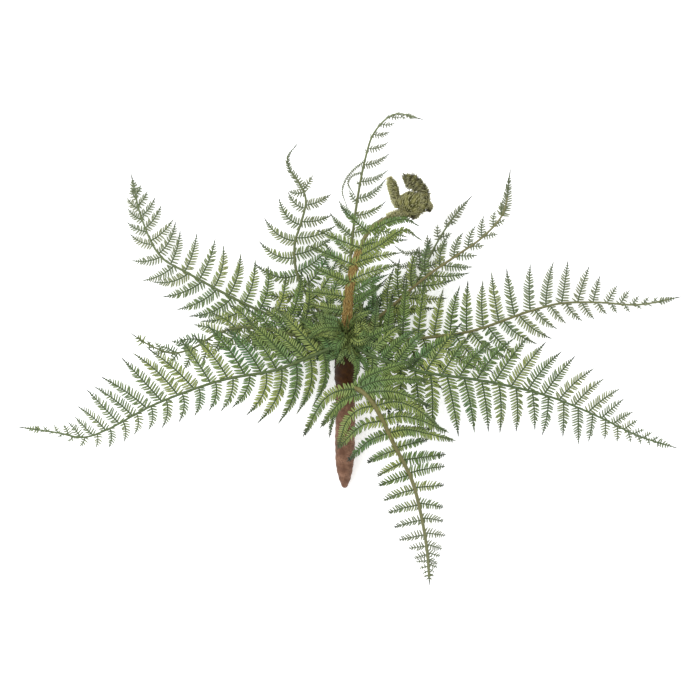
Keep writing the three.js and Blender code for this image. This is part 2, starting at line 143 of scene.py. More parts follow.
# %% The young frond and single pinnae
YOUNG = dict(
    PLAIN, pinna=42, leafy=(44, 44), leaf_end=142, left=(84, 90), right=(56, 46), sweep=(4, -6), droop=-0.15,
    thin=((0.9, 1), (0.9, 1)), full=0.68, lift=((62, 84, 106, 118), (0.5, 4.1, 3.4, 1.6)), tan=0.6, pale=0.0,
    route=[(-2, 36, 63), (2, 66, 70), (8, 86, 74), (18, 106, 77)])
SINGLES = {
    "frond_front": [
        (1.0, 0.1, [(5, -36, 87), (-8, -37, 89), (-22, -44, 84), (-40, -75, 68)]),
        (0.9, 0.1, [(11, -40, 91), (0, -43, 90), (-9, -48, 87), (-24, -67, 76)]),
        (0.4, 0.0, [(4, -37, 86), (-8, -49, 82), (-15, -61, 74), (-18, -76, 64)]),
        (0.9, 0.1, [(21, -51, 93), (10, -53, 93), (-2, -63, 88), (-10, -86, 76)]),
        (0.9, 0.1, [(29, -64, 92), (11, -68, 89), (-8, -86, 78)]),
        (0.85, 0.1, [(34, -75, 89), (17, -82, 85), (0, -98, 74)]),
        (1.0, 0.0, [(4, -36, 84), (15, -25, 87), (33, -18, 82), (58, -10, 74)]),
        (1.1, 0.0, [(7, -36, 88), (20, -30, 91), (40, -27, 88), (66, -28, 80)]),
        (1.1, 0.1, [(13, -40, 92), (25, -38, 94), (42, -39, 91), (68, -50, 80)]),
        (1.0, 0.1, [(22, -51, 93), (40, -47, 92), (58, -53, 87), (79, -70, 75)]),
        (0.95, 0.1, [(29, -63, 92), (45, -60, 90), (60, -63, 86), (84, -73, 75)]),
        (0.9, 0.1, [(34, -75, 89), (50, -72, 87), (66, -75, 83), (90, -81, 74)]),
    ],
    "frond_top": [
        (-0.15, 0.8, [(13.2, 170, 14), (5, 164, 15), (-3.6, 154, 16.5), (-7.2, 143, 18), (-3.6, 131, 19)]),
        (-0.15, 0.8, [(11.3, 160, 13.8), (2, 157, 14.5), (-2, 150, 15.5), (3, 141, 18)]),
    ],
    "frond_top_right_small": [
        (0.2, 0.8, [(72.9, 84.2, 9.4), (60, 87.5, 13), (50, 86.5, 14), (43, 91.5, 13.5)]),
        (0.2, 0.8, [(68.1, 74.2, 9.7), (58, 76.8, 14), (45, 74.5, 15), (36.5, 80.5, 14.5)]),
    ],
    "young_frond": [
        (0.65, 0.1, [(19, 105, 79), (36, 113, 83), (50, 115, 84), (58, 111, 82)]),
        (0.7, 0.1, [(8, 82, 76), (28, 93, 82), (48, 106, 84), (60, 99, 80)]),
    ],
}
print("pinnae with points of their own:", sum(len(singles) for singles in SINGLES.values()))

# %% [markdown]
# ## Colours and nodes
#
# Finishes are written as the sRGB colours that the eye picks from a swatch, and Blender mixes light
# in linear colour, so one function turns the first into the second. Another adds a node to any tree,
# sets its options, and fills or links its inputs. Every tree of this lesson, for shapes and for
# finishes, is built with it. A node that is given as a value stands for its first output in use.


# %% Helpers for every tree
def linear(swatch):
    """An sRGB hex colour as linear red, green, blue and alpha."""
    shares = [int(swatch[i:i + 2], 16) / 255 for i in (1, 3, 5)]
    return tuple(c / 12.92 if c <= 0.04045 else ((c + 0.055) / 1.055) ** 2.4 for c in shares) + (1.0,)


def fill(tree, node, inputs):
    """Sets a node's inputs to values, or links them to a node, an output or a list of these."""
    for key, value in inputs.items():
        for one in value if isinstance(value, list) else [value]:
            if isinstance(one, bpy.types.Node):
                one = next(socket for socket in one.outputs if socket.enabled)
            if isinstance(one, bpy.types.NodeSocket):
                tree.links.new(one, node.inputs[key])
            else:
                node.inputs[key].default_value = one
    return node


def add(tree, kind, inputs=None, **options):
    """Adds a node, sets its options and fills its inputs."""
    node = tree.nodes.new(kind)
    for name, value in options.items():
        setattr(node, name, value)
    return fill(tree, node, inputs or {})


def new_finish(name, numbers):
    """A new material: itself, its tree, the place on the piece, and these numbers on the mesh."""
    made = bpy.data.materials.new(name)
    made.use_nodes = True
    tree = made.node_tree
    place = add(tree, "ShaderNodeTexCoord").outputs["Object"]
    return made, tree, place, {
        key: add(tree, "ShaderNodeAttribute", attribute_name=key).outputs["Fac"] for key in numbers}


print("a mid leaf green is", [round(c, 3) for c in linear("#6E8A4C")], "in linear colour")

# %% [markdown]
# ## The leaf finish
#
# The leaves are thin pressed polyethylene with a printed colour: a soft green skin with a faint gloss, never
# one flat green. What the eye sees is a change of green from pinna to pinna, bluer patches a few centimetres
# wide, a darker margin round every leaflet that is painted shade at its edges, nearly black points on the
# pinnae, and a washed-out grey green towards the tip of a frond. A fine mottle over it all is partly uneven
# print and partly painted shade and highlight between the leaflets.
#
# A picture of a leaf could be wrapped on, but each leaflet is only a few millimetres long. So the colour is
# mixed from numbers that the growing tree leaves on the mesh: `tint` for each pinna, `darken` towards its
# point, `pale` towards the frond's tip, and `margin` from a leaflet's middle to its edge, which sets how
# much painted edge shade it gets.

# %% Leaf finish
leaf_skin, tree, place, on_leaf = new_finish(
    "pressed_polyethylene_leaf", ("tint", "darken", "pale", "margin"))
PATCH = 28 * MM
MOTTLE = 1.6 * MM
patches = add(tree, "ShaderNodeTexNoise", {"Vector": place, "Scale": 1 / PATCH, "Detail": 2.0})
mottle = add(tree, "ShaderNodeTexNoise", {"Vector": place, "Scale": 1 / MOTTLE, "Detail": 3.0})
blue_share = add(tree, "ShaderNodeMapRange", {
    "Value": patches, "From Min": 0.45, "From Max": 0.7, "To Max": 0.6})
# The darker green mixed in by the margin is painted shade along the edges of each leaflet.
painted_edge_shade = add(tree, "ShaderNodeMapRange", {
    "Value": on_leaf["margin"], "From Min": 0.3, "From Max": 1.0, "To Max": 0.55})
colour = linear("#98A258")
for share, swatch in (
    (on_leaf["tint"], "#5A783C"), (blue_share, "#4E7A58"), (on_leaf["pale"], "#8A8C74"),
    (painted_edge_shade, "#344822"), (on_leaf["darken"], "#262E24"),
):
    colour = add(tree, "ShaderNodeMix", {0: share, 6: colour, 7: linear(swatch)}, data_type="RGBA")
# Multiplying by the mottle is partly uneven tone of the print and partly painted shade and highlight between
# the leaflets.
tone_and_painted_light = add(tree, "ShaderNodeMapRange", {"Value": mottle, "To Min": 0.45, "To Max": 1.6})
shaded = add(tree, "ShaderNodeMix", {
    0: 1.0, 6: colour, 7: tone_and_painted_light}, data_type="RGBA", blend_type="MULTIPLY")
grain = add(tree, "ShaderNodeBump", {"Height": mottle, "Strength": 0.35, "Distance": 0.2 * MM})
gloss = add(tree, "ShaderNodeMapRange", {"Value": mottle, "To Min": 0.42, "To Max": 0.62})
fill(tree, tree.nodes["Principled BSDF"], {
    "Base Color": shaded, "Roughness": gloss, "Normal": grain, "IOR": 1.5, "Specular IOR Level": 0.3})
print("made", leaf_skin.name)

# %% [markdown]
# ## The stem and rib finish
#
# Stems and ribs are moulded with the leaves and tinted darker. Some stems turn straw brown, so the
# mix is set by a number on the mesh, `tan`. Ribs are a darker green than stems and fade less towards
# the tip of a frond, by `is_rib`. Mottling about as wide as a stem stands for the fibres and fuzz of
# the real one.

# %% Stem finish
stem_skin, tree, place, on_stem = new_finish("moulded_polyethylene_stem", ("tan", "pale", "is_rib"))
STREAK = 2.4 * MM
streaks = add(tree, "ShaderNodeTexNoise", {"Vector": place, "Scale": 1 / STREAK, "Detail": 4.0})
fresh, straw = (
    add(tree, "ShaderNodeMix", {0: streaks, 6: linear(dark), 7: linear(light)}, data_type="RGBA")
    for dark, light in (("#2E4626", "#60703E"), ("#6E5F35", "#A08A5A")))
rib_share = add(tree, "ShaderNodeMath", {0: on_stem["is_rib"], 1: 0.75}, operation="MULTIPLY")
fading = add(tree, "ShaderNodeMath", {0: on_stem["is_rib"], 1: -0.35, 2: 0.7}, operation="MULTIPLY_ADD")
faded_share = add(tree, "ShaderNodeMath", {0: on_stem["pale"], 1: fading}, operation="MULTIPLY")
colour = fresh
for share, over in (
    (on_stem["tan"], straw), (rib_share, linear("#384A24")), (faded_share, linear("#7E8868")),
):
    colour = add(tree, "ShaderNodeMix", {0: share, 6: colour, 7: over}, data_type="RGBA")
grain = add(tree, "ShaderNodeBump", {"Height": streaks, "Strength": 0.5, "Distance": 0.3 * MM})
fill(tree, tree.nodes["Principled BSDF"], {
    "Base Color": colour, "Roughness": 0.55, "Normal": grain, "IOR": 1.5, "Specular IOR Level": 0.3})
print("made", stem_skin.name)

# %% [markdown]
# ## One leaflet
#
# A leaflet is a small tongue: broad where it joins the rib, bent a little towards the pinna's point,
# rounded at its end, and arched across like a roof tile. It is repeated thousands of times, so it
# has to be cheap. A flat card would be cheapest, but it would vanish edge on and let light leak
# round it. This one is a closed lens of four cross-sections and an end point: each section has two
# edges, a ridge above and a keel below.
#
# It is one unit long, wide and thick, and the growing tree scales it. The numbers `up_leaflet` and `margin`
# are stored on its points for the finishes, which use them to paint shade at the roots of scales and at the
# edges of leaflets.


# %% Leaflet shape
def leaflet(name, sections, end, bend):
    """A closed lens along +Y. Each section is its place, half width, ridge height and keel depth."""
    points, up, margin = [], [], []
    for y, half, ridge, keel in sections:
        x = bend * y * y
        sag = -end * y * y
        points += [(x - half, y, sag), (x, y, sag + ridge), (x + half, y, sag), (x, y, sag - keel)]
        up += [y] * 4
        margin += [1, 0, 1, 0]
    points.append((bend, 1, -end))
    up.append(1)
    margin.append(1)
    tip = len(points) - 1
    faces = [(0, 1, 2, 3)]
    for row in range(0, tip - 4, 4):
        faces += [(row + k, row + 4 + k, row + 4 + (k + 1) % 4, row + (k + 1) % 4) for k in range(4)]
    faces += [(tip - 4 + k, tip, tip - 4 + (k + 1) % 4) for k in range(4)]
    mesh = bpy.data.meshes.new(name)
    mesh.from_pydata(points, [], faces)
    mesh.shade_smooth()
    for key, values in (("up_leaflet", up), ("margin", margin)):
        mesh.attributes.new(key, "FLOAT", "POINT").data.foreach_set("value", np.array(values, np.float32))
    shape = bpy.data.objects.new(name, mesh)
    bpy.context.scene.collection.objects.link(shape)
    return shape


open_leaflet = leaflet(
    "open_leaflet",
    [(0, 0.42, 0.7, 0.3), (0.35, 0.5, 1, 0.1), (0.7, 0.42, 0.8, 0.1), (0.92, 0.24, 0.5, 0.1)],
    end=1.6, bend=0.35)
leaf_point = leaflet(
    "leaf_point", [(0, 0.5, 0.6, 0.3), (0.3, 0.4, 0.6, 0.2), (0.62, 0.24, 0.5, 0.1), (0.88, 0.1, 0.3, 0.1)],
    end=0.8, bend=0)
print("a leaflet has", len(open_leaflet.data.polygons), "faces, and so has the point of a pinna")

# %% [markdown]
# ## What the two growing trees share
#
# Leaves and scales are grown by Geometry Nodes trees. Each tree takes a bare skeleton, a mesh of
# edges whose points carry numbers and the directions `ahead`, along the edge, and `face`, out of the
# leaf. Both trees skin lines as tubes, and both lay a small shape on every step along a line, turned
# a little at random but the same on every run. These parts are written once.

# %% Helpers for the growing trees
DIRECTIONS = ("ahead", "face")


def new_tree(name, result, inputs, numbers):
    """A new tree: itself, its inputs, what it reads from the points, and its inputs' identifiers."""
    tree = bpy.data.node_groups.new(name, "GeometryNodeTree")
    keys = {}
    for key, kind, value in inputs:
        socket = tree.interface.new_socket(key, in_out="INPUT", socket_type="NodeSocket" + kind)
        keys[key] = socket.identifier
        if value is not None:
            socket.default_value = value
    tree.interface.new_socket(result, in_out="OUTPUT", socket_type="NodeSocketGeometry")
    given = add(tree, "NodeGroupInput").outputs
    known = {
        key: add(tree, "GeometryNodeInputNamedAttribute", {"Name": key},
                 data_type="FLOAT_VECTOR" if key in DIRECTIONS else "FLOAT")
        for key in (*DIRECTIONS, *numbers)
    }
    return tree, given, known, keys


def tube(tree, lines, sides, girth):
    """A closed tube along every line."""
    ring = add(tree, "GeometryNodeCurvePrimitiveCircle", {"Resolution": sides, "Radius": 1.0})
    return add(tree, "GeometryNodeCurveToMesh", {
        "Curve": lines, "Profile Curve": ring, "Scale": girth, "Fill Caps": True})


def lay(tree, points, shape, along, face, size, unrest=0.0, seed=0, where=True):
    """Lays a shape on the points: its length along one direction, its upper side to another."""
    turned = add(tree, "FunctionNodeAxesToRotation", {
        "Primary Axis": along, "Secondary Axis": face}, primary_axis="Y", secondary_axis="Z")
    index = add(tree, "GeometryNodeInputIndex")
    restless = add(tree, "FunctionNodeRandomValue", {
        0: (-1, -1, -1), 1: (1, 1, 1), "ID": index, "Seed": seed}, data_type="FLOAT_VECTOR")
    wobble = add(tree, "ShaderNodeVectorMath", {0: restless, "Scale": unrest}, operation="SCALE")
    wobble_turn = add(tree, "FunctionNodeEulerToRotation", {"Euler": wobble})
    final_turn = add(tree, "FunctionNodeRotateRotation", {
        "Rotation": turned, "Rotate By": wobble_turn}, rotation_space="LOCAL")
    scale = add(tree, "ShaderNodeCombineXYZ", dict(zip("XYZ", size)))
    return add(tree, "GeometryNodeInstanceOnPoints", {
        "Points": points, "Selection": where, "Instance": shape, "Rotation": final_turn, "Scale": scale})


print("both trees read the directions", DIRECTIONS)

# %% [markdown]
# ## The tree that grows a frond
#
# Thousands of leaflets could be copied by a Python loop, but a tree says the rule once and can be
# read like a recipe. The skeleton's edges are the stem and the ribs. The tree skins them as tubes,
# walks along every rib in even steps, sets a leaflet on each side at every step, and closes each rib
# with a point.
#
# It reads these numbers: `up_rib` runs from 0 at the stem to 1 at a rib's end, `reach` and `breadth`
# are the sizes of a full leaflet on that rib, `pitch` is the step between leaflets, `point` is how
# long its end point is, and `girth` is the radius of the tube.

# %% The growing tree
grow, given, known, grow_inputs = new_tree(
    "grow_frond", "Frond", (
        ("Skeleton", "Geometry", None),
        ("Leaflet", "Object", None),
        ("Point", "Object", None),
        ("Lean at stem", "Float", math.radians(72)),
        ("Lean at point", "Float", math.radians(40)),
        ("Taper", "Float", PLAIN["taper"]),
        ("Taper power", "Float", 3.6),
        ("Point width", "Float", 0.75),
        ("Thickness", "Float", 0.5 * MM),
        ("Droop", "Float", 0.12),
        ("Unrest", "Float", math.radians(10)),
        ("Tube sides", "Int", 6),
        ("Seed", "Int", 1),
        ("Leaf finish", "Material", None),
        ("Stem finish", "Material", None),
    ), ("up_rib", "reach", "breadth", "point", "pitch", "girth", "is_rib"))
is_rib = add(grow, "ShaderNodeMath", {0: known["is_rib"], 1: 0.5}, operation="GREATER_THAN")
parts = add(grow, "GeometryNodeSeparateGeometry", {
    "Geometry": given["Skeleton"], "Selection": is_rib}, domain="POINT")
ribs, stems = (
    add(grow, "GeometryNodeMeshToCurve", {"Mesh": parts.outputs[part]})
    for part in ("Selection", "Inverted"))
tubes = [tube(grow, lines, given["Tube sides"], known["girth"]) for lines in (ribs, stems)]
skinned = add(grow, "GeometryNodeJoinGeometry", {"Geometry": tubes})
stem_part = add(grow, "GeometryNodeSetMaterial", {"Geometry": skinned, "Material": given["Stem finish"]})
print("the growing tree skins", len(tubes), "kinds of tube")

# %% [markdown]
# The leaflets come next. On a point of a rib, `across` is the direction out of the rib in the plane
# of the leaf. A leaflet leans from there towards the pinna's end, more and more the further out it
# sits, and it shrinks only over the last third, which gives the pinna its blunt outline with a
# drawn-out point. A little seeded unrest turns each one by a few degrees, as on the real leaf.

# %% The growing tree, how a leaflet lies
steps = add(grow, "GeometryNodeResampleCurve", {"Curve": ribs, "Length": known["pitch"]}, mode="LENGTH")
across = add(grow, "ShaderNodeVectorMath", {0: known["face"], 1: known["ahead"]}, operation="CROSS_PRODUCT")
lean = add(grow, "ShaderNodeMix", {
    0: known["up_rib"], 2: given["Lean at stem"], 3: given["Lean at point"]}, data_type="FLOAT")
forward = add(grow, "ShaderNodeMath", {0: lean}, operation="COSINE")
outward = add(grow, "ShaderNodeMath", {0: lean}, operation="SINE")
shrink = add(grow, "ShaderNodeMath", {0: known["up_rib"], 1: given["Taper power"]}, operation="POWER")
lost = add(grow, "ShaderNodeMath", {0: shrink, 1: given["Taper"]}, operation="MULTIPLY")
share = add(grow, "ShaderNodeMath", {0: 1.0, 1: lost}, operation="SUBTRACT")
length = add(grow, "ShaderNodeMath", {0: share, 1: known["reach"]}, operation="MULTIPLY")
slimmer = add(grow, "ShaderNodeMath", {0: share, 1: 0.4}, operation="POWER")
width = add(grow, "ShaderNodeMath", {0: slimmer, 1: known["breadth"]}, operation="MULTIPLY")
ahead_part = add(grow, "ShaderNodeVectorMath", {0: known["ahead"], "Scale": forward}, operation="SCALE")
down_part = add(grow, "ShaderNodeVectorMath", {0: known["face"], "Scale": given["Droop"]}, operation="SCALE")
level = add(grow, "ShaderNodeVectorMath", {0: ahead_part, 1: down_part}, operation="SUBTRACT")
print("the growing tree has", len(grow.nodes), "nodes so far")

# %% [markdown]
# A leaflet is then laid on each side at every step, and a point at the last one. They become real
# meshes, and are joined with the tubes and smoothed.

# %% The growing tree, leaflets
leaf_shape, end_shape = (
    add(grow, "GeometryNodeObjectInfo", {"Object": given[name]}).outputs["Geometry"]
    for name in ("Leaflet", "Point"))
blades = []
for side in (-1, 1):
    sideways = add(grow, "ShaderNodeMath", {0: outward, 1: side}, operation="MULTIPLY")
    out_part = add(grow, "ShaderNodeVectorMath", {0: across, "Scale": sideways}, operation="SCALE")
    lie = add(grow, "ShaderNodeVectorMath", {0: level, 1: out_part}, operation="ADD")
    seed = add(grow, "ShaderNodeMath", {0: given["Seed"], 1: 100 + side}, operation="ADD")
    blades.append(lay(
        grow, steps, leaf_shape, lie, known["face"], (width, length, given["Thickness"]),
        given["Unrest"], seed))
at_end = add(grow, "ShaderNodeMath", {0: known["up_rib"], 1: 0.995}, operation="GREATER_THAN")
point_width = add(grow, "ShaderNodeMath", {
    0: known["breadth"], 1: given["Point width"]}, operation="MULTIPLY")
blades.append(lay(
    grow, steps, end_shape, known["ahead"], known["face"],
    (point_width, known["point"], given["Thickness"]), where=at_end))
all_blades = add(grow, "GeometryNodeJoinGeometry", {"Geometry": blades})
real = add(grow, "GeometryNodeRealizeInstances", {"Geometry": all_blades})
leaf_part = add(grow, "GeometryNodeSetMaterial", {"Geometry": real, "Material": given["Leaf finish"]})
whole = add(grow, "GeometryNodeJoinGeometry", {"Geometry": [stem_part, leaf_part]})
smooth = add(grow, "GeometryNodeSetShadeSmooth", {"Geometry": whole})
add(grow, "NodeGroupOutput", {"Frond": smooth})
print("the growing tree has", len(grow.nodes), "nodes")

# %% [markdown]
# ## From a route to a skeleton
#
# The stem is a smooth line through its route. Blender could draw it as a Bezier curve, but the
# solids use a line that is timed by the distance between the points, which never overshoots, so the
# same line is worked out here. Each pinna's rib is a short bent line: it leaves the stem at its
# angle, swings towards the tip and droops.


# %% Lines
def unit(vectors):
    """Vectors at length one."""
    return vectors / np.linalg.norm(vectors, axis=-1, keepdims=True)


def smooth_line(points, samples=24):
    """Closely spaced points on a smooth line through the points."""
    pts = np.array(points, float)
    ends = np.vstack([2 * pts[0] - pts[1], pts, 2 * pts[-1] - pts[-2]])
    line = []
    for p0, p1, p2, p3 in zip(ends, ends[1:], ends[2:], ends[3:]):
        d0, d1, d2 = (math.sqrt(np.linalg.norm(b - a)) for a, b in ((p0, p1), (p1, p2), (p2, p3)))
        m1 = ((p1 - p0) / d0 - (p2 - p0) / (d0 + d1) + (p2 - p1) / d1) * d1
        m2 = ((p2 - p1) / d1 - (p3 - p1) / (d1 + d2) + (p3 - p2) / d2) * d1
        square = 3 * p2 - 3 * p1 - 2 * m1 - m2
        cube = 2 * p1 - 2 * p2 + m1 + m2
        line += [p1 + m1 * u + square * u**2 + cube * u**3 for u in np.arange(samples) / samples]
    return np.array(line + [pts[-1]])


def run_of(line):
    """The distance from a line's start to each of its points."""
    return np.concatenate([[0], np.cumsum(np.linalg.norm(np.diff(line, axis=0), axis=1))])


def walk(line, distances):
    """Points and directions at these distances along a line."""
    run = run_of(line)
    at, back, front = (
        np.stack([np.interp(np.asarray(distances) + d, run, line[:, k]) for k in range(3)], axis=-1)
        for d in (0, -1, 1))
    return at, unit(front - back)


def upright(ahead, face):
    """The direction nearest to face that is square to ahead."""
    face = np.broadcast_to(np.array(face, float), ahead.shape)
    return unit(face - ahead * np.sum(face * ahead, axis=-1, keepdims=True))


def stretch(line, distances, face=(0, 0, 1)):
    """A path at these distances along a line: its points and directions."""
    points, ahead = walk(line, distances)
    return dict(points=points, ahead=ahead, face=upright(ahead, face))


stake_along = unit(CROWN - STAKE_POINT)
stake_up = upright(stake_along, (0, 0, 1))
stake_across = np.cross(stake_along, stake_up)
print("the stake slopes", round(math.degrees(math.asin(stake_along[2])), 1), "degrees")

# %% [markdown]
# Each path of a skeleton is a row of points with one value of every kind for each point. A path
# that doesn't mention a value gets zero. The whole skeleton becomes one mesh without faces.

# %% Skeletons
NUMBERS = (
    "is_rib", "up_rib", "reach", "breadth", "pitch", "point", "girth", "tint", "darken", "tan", "pale")


def skeleton(name, paths):
    """A mesh of edges from paths in millimetres of the drawing, with the numbers that the trees read."""
    mesh = bpy.data.meshes.new(name)
    edges, start = [], 0
    for path in paths:
        count = len(path["points"])
        edges += [(start + i, start + i + 1) for i in range(count - 1)]
        start += count
    points = (np.concatenate([path["points"] for path in paths]) + TO_ROW) * MM
    mesh.from_pydata(points.tolist(), edges, [])
    for key in NUMBERS:
        values = [np.broadcast_to(path.get(key, 0.0), len(path["points"])) for path in paths]
        data = mesh.attributes.new(key, "FLOAT", "POINT").data
        data.foreach_set("value", np.concatenate(values).astype(np.float32))
    for key in DIRECTIONS:
        values = [np.broadcast_to(path[key], path["points"].shape) for path in paths]
        data = mesh.attributes.new(key, "FLOAT_VECTOR", "POINT").data
        data.foreach_set("vector", np.concatenate(values).astype(np.float32).ravel())
    made = bpy.data.objects.new(name, mesh)
    bpy.context.scene.collection.objects.link(made)
    return made


print("a skeleton carries", NUMBERS + DIRECTIONS)

# %% [markdown]
# ## The lines of the pinnae
#
# What changes along a frond is given by two rows: places from 0 at the first pinna to 1 at the tip,
# and the values there. Values between the places are mixed. Pinnae stand close at the crown, wider
# apart further on and close again at the tip. They are longest near the crown, where they also stand
# less evenly. The small changes from one pinna to the next are drawn at random between two limits,
# from a fixed seed for each frond.

# %% Pinna ribs
PINNA_PITCH = 16
SHORTEST_PINNA = 3
FLOOR_GAP = 2.0
PITCH_ALONG = ((0, 0.12, 0.3, 0.65, 1), (0.8, 0.85, 1, 0.95, 0.4))
LENGTH_ALONG = (
    (0, 0.15, 0.5, 0.68, 0.83, 0.9, 0.95, 1), (0.85, 1, 0.9, 0.74, 0.5, 0.32, 0.17, 0.08))
LOOSE_ALONG = ((0, 0.3), (2.5, 1))
BASE_PART = (0, 0.35)
THIN_RAMP = 0.1
SLIM_PART = (0.68, 0.86)
CROWD_PART = (0.55, 0.8)
LEAN_PART = (0.72, 0.95)
SHORTER = (-0.05, 0.12)
ANGLE_OFF = (-5, 5)
MORE_SWEEP = (-4, 7)
DROOP_OFF = (-0.05, 0.05)
ROLL = (-9, 9)
ROLL_BY_HEIGHT = ((8, 20), (0.2, 1))


def pinna_places(frond, length, leaf_end):
    """Where the pinnae stand, as shares of the leafy length."""
    leafy = min(frond["leafy"])
    places, at = [], 0.0
    while at * (length - leafy) < leaf_end - leafy:
        places.append(at)
        crowd = np.interp(at, CROWD_PART, (1, frond["crowd"]))
        at += crowd * PINNA_PITCH * np.interp(at, *PITCH_ALONG) / (length - leafy)
    return places


def pinna_length(frond, q, side):
    """How long a pinna is at a share of the leafy length, in millimetres."""
    base = np.interp(q, BASE_PART, (frond["base"], 1))
    start, left_over = frond["thin"][side > 0]
    thin = np.interp(q, (start - THIN_RAMP, start + THIN_RAMP), (1, left_over))
    slim = np.interp(q, SLIM_PART, (1, frond["slim"]))
    return max(SHORTEST_PINNA, frond["pinna"] * np.interp(q, *LENGTH_ALONG) * base * thin * slim)


def pinna_rib(frond, place, side, q, rng):
    """The bent line of one pinna, with its directions, and its length."""
    at, ahead, up = place
    right = np.cross(ahead, up)
    loose = np.interp(q, *LOOSE_ALONG)
    long = pinna_length(frond, q, side) * (1 - loose * rng.uniform(*SHORTER))
    first, last = frond["left"] if side < 0 else frond["right"]
    angle = first + (last - first) * q + loose * rng.uniform(*ANGLE_OFF)
    angle -= np.interp(q, LEAN_PART, (0, frond["lean"]))
    turn = frond["sweep"][side > 0] + rng.uniform(*MORE_SWEEP)
    middle, end = (
        math.cos(a) * ahead + side * math.sin(a) * right for a in np.radians([angle, angle - turn]))
    end = at + long * end - (frond["droop"] + loose * rng.uniform(*DROOP_OFF)) * long * up
    middle = at + long / 2 * middle
    t = np.linspace(0, 1, 9)[:, None]
    rib = (1 - t) ** 2 * at + 2 * t * (1 - t) * middle + t**2 * end
    rib[:, 2] = np.maximum(rib[:, 2], FLOOR_GAP - TO_ROW[2])
    rib_ahead = unit(np.gradient(rib, axis=0))
    roll = math.radians(loose * rng.uniform(*ROLL)) * np.interp(at[2], *ROLL_BY_HEIGHT)
    tilted = math.cos(roll) * up + math.sin(roll) * np.cross(rib_ahead[4], up)
    return dict(points=rib, ahead=rib_ahead, face=upright(rib_ahead, tilted), up_rib=t[:, 0]), long


print("on a stem the pinnae stand up to", PINNA_PITCH, "mm apart")

# %% [markdown]
# Each rib is then given the sizes and tints of its leaflets. A fuller pinna has longer, broader
# leaflets further apart on a thicker rib. Leaflets lean, so they are longer than they reach across.
# The ends of the pinnae are darker, and pinnae towards the tip of a frond are paler.

# %% Leaflet sizes
LEAFLET_REACH = 6.6
LEAFLET_BREADTH = 2.05
LEAFLET_PITCH = 2.55
REACH_ACROSS = 0.88
DARK_START = 0.74
FULL_DARK_LENGTH = 25
FINE_ALONG = ((0, 0.25), (0.8, 1))
BREADTH_ALONG = ((0, 0.3, 0.6, 1), (1.05, 1, 0.88, 0.75))
TINT_ALONG = ((0, 0.35), (0.05, 0))
PALE_ALONG = ((0.3, 0.68), (0, 1))


def clad(rib, long, share, q, frond, rng):
    """A rib with the sizes and tints of its leaflets. share is how full they are."""
    t = rib["up_rib"]
    far = np.clip((t - DARK_START) / (1 - DARK_START), 0, 1)
    fine = np.interp(q, *FINE_ALONG)
    reach = min(LEAFLET_REACH * (0.3 + 0.7 * share) + 0.5, 0.3 * long + 0.8)
    breadth = LEAFLET_BREADTH * (0.7 + 0.3 * share) * np.interp(q, *BREADTH_ALONG)
    return dict(
        rib, is_rib=1.0, reach=fine * reach / REACH_ACROSS * MM, breadth=breadth * MM,
        pitch=fine * LEAFLET_PITCH * (0.72 + 0.28 * share) * MM, point=min(6, 1.2 + 0.1 * long) * MM,
        girth=(0.75 - 0.25 * t) * (0.6 + 0.4 * share) * MM,
        tint=rng.uniform(0, 0.8) + np.interp(q, *TINT_ALONG), tan=0.15 * frond["tan"],
        darken=far * min(1, long / FULL_DARK_LENGTH) * rng.uniform(0.6, 1),
        pale=frond["pale"] * np.interp(q, *PALE_ALONG))


print("a full leaflet reaches", LEAFLET_REACH, "mm from its rib")

# %% [markdown]
# The skeleton of a frond is its stem, the ribs of its pinnae on both sides, the pinnae with points of
# their own, and a tip where single leaflets stand on the stem itself.

# %% The paths of a frond
SIDE_SHIFT = (0.006, 0.02)
BARE_TIP = 4


def tip_start(frond, length):
    """How far along the stem the pinnae end and the tip's single leaflets start."""
    return length - frond["tip"][0] * (length - min(frond["leafy"]))


def pinna_paths(frond, line, length, rng):
    """The ribs of a frond's pinnae, on both sides of its stem."""
    leafy = min(frond["leafy"])
    paths = []
    for place in pinna_places(frond, length, frond["leaf_end"] or tip_start(frond, length)):
        for side in (-1, 1):
            q = place + SIDE_SHIFT[side > 0]
            run = leafy + q * (length - leafy)
            if run < frond["leafy"][side > 0]:
                continue
            at, ahead = walk(line, [run])
            up = upright(ahead, frond["face"])
            at = at + np.interp(run, *frond["lift"]) * up
            rib, long = pinna_rib(frond, (at[0], ahead[0], up[0]), side, q, rng)
            share = frond["full"] * min(1, 0.2 + 0.8 * long / frond["pinna"])
            paths.append(clad(rib, long, share, q, frond, rng))
    return paths


def single_path(share, q, points, frond, rng):
    """The rib of a pinna that follows its own points."""
    line = smooth_line(points)
    long = run_of(line)[-1]
    t = np.linspace(0, 1, 12)
    return clad(dict(stretch(line, t * long, frond["face"]), up_rib=t), long, share, q, frond, rng)


def tip_path(frond, line, length):
    """The end of a frond, where single leaflets stand on the stem itself."""
    start = tip_start(frond, length)
    t = np.linspace(0, 1, 14)
    fullness = 0.4 + 0.6 * min(left_over for _, left_over in frond["thin"])
    return dict(
        stretch(line, start + (length - start - BARE_TIP) * t, frond["face"]), is_rib=1.0, up_rib=t,
        reach=frond["tip"][1] * (1 - 0.42 * t) * fullness * MM, breadth=1.6 * MM, pitch=2.2 * MM,
        point=7 * MM, girth=(0.85 - 0.45 * t) * MM, tint=0.4, tan=0.5 * frond["tan"],
        darken=0.8 * t**3, pale=frond["pale"])


def stem_path(frond, line, length, radius, tip_radius):
    """A frond's stem, from its seat in the stake into the part with the tip's leaflets."""
    end = length - 0.5 * frond["tip"][0] * length
    run = np.linspace(0, end, round(end / 4))
    share = run / length
    return dict(
        stretch(line, run, frond["face"]), up_rib=0.0, tan=frond["tan"],
        girth=(radius + (tip_radius - radius) * share) * MM,
        pale=frond["pale"] * np.clip((share - 0.4) / 0.6, 0, 1))


print("the last", BARE_TIP, "mm of a frond carry only its point")

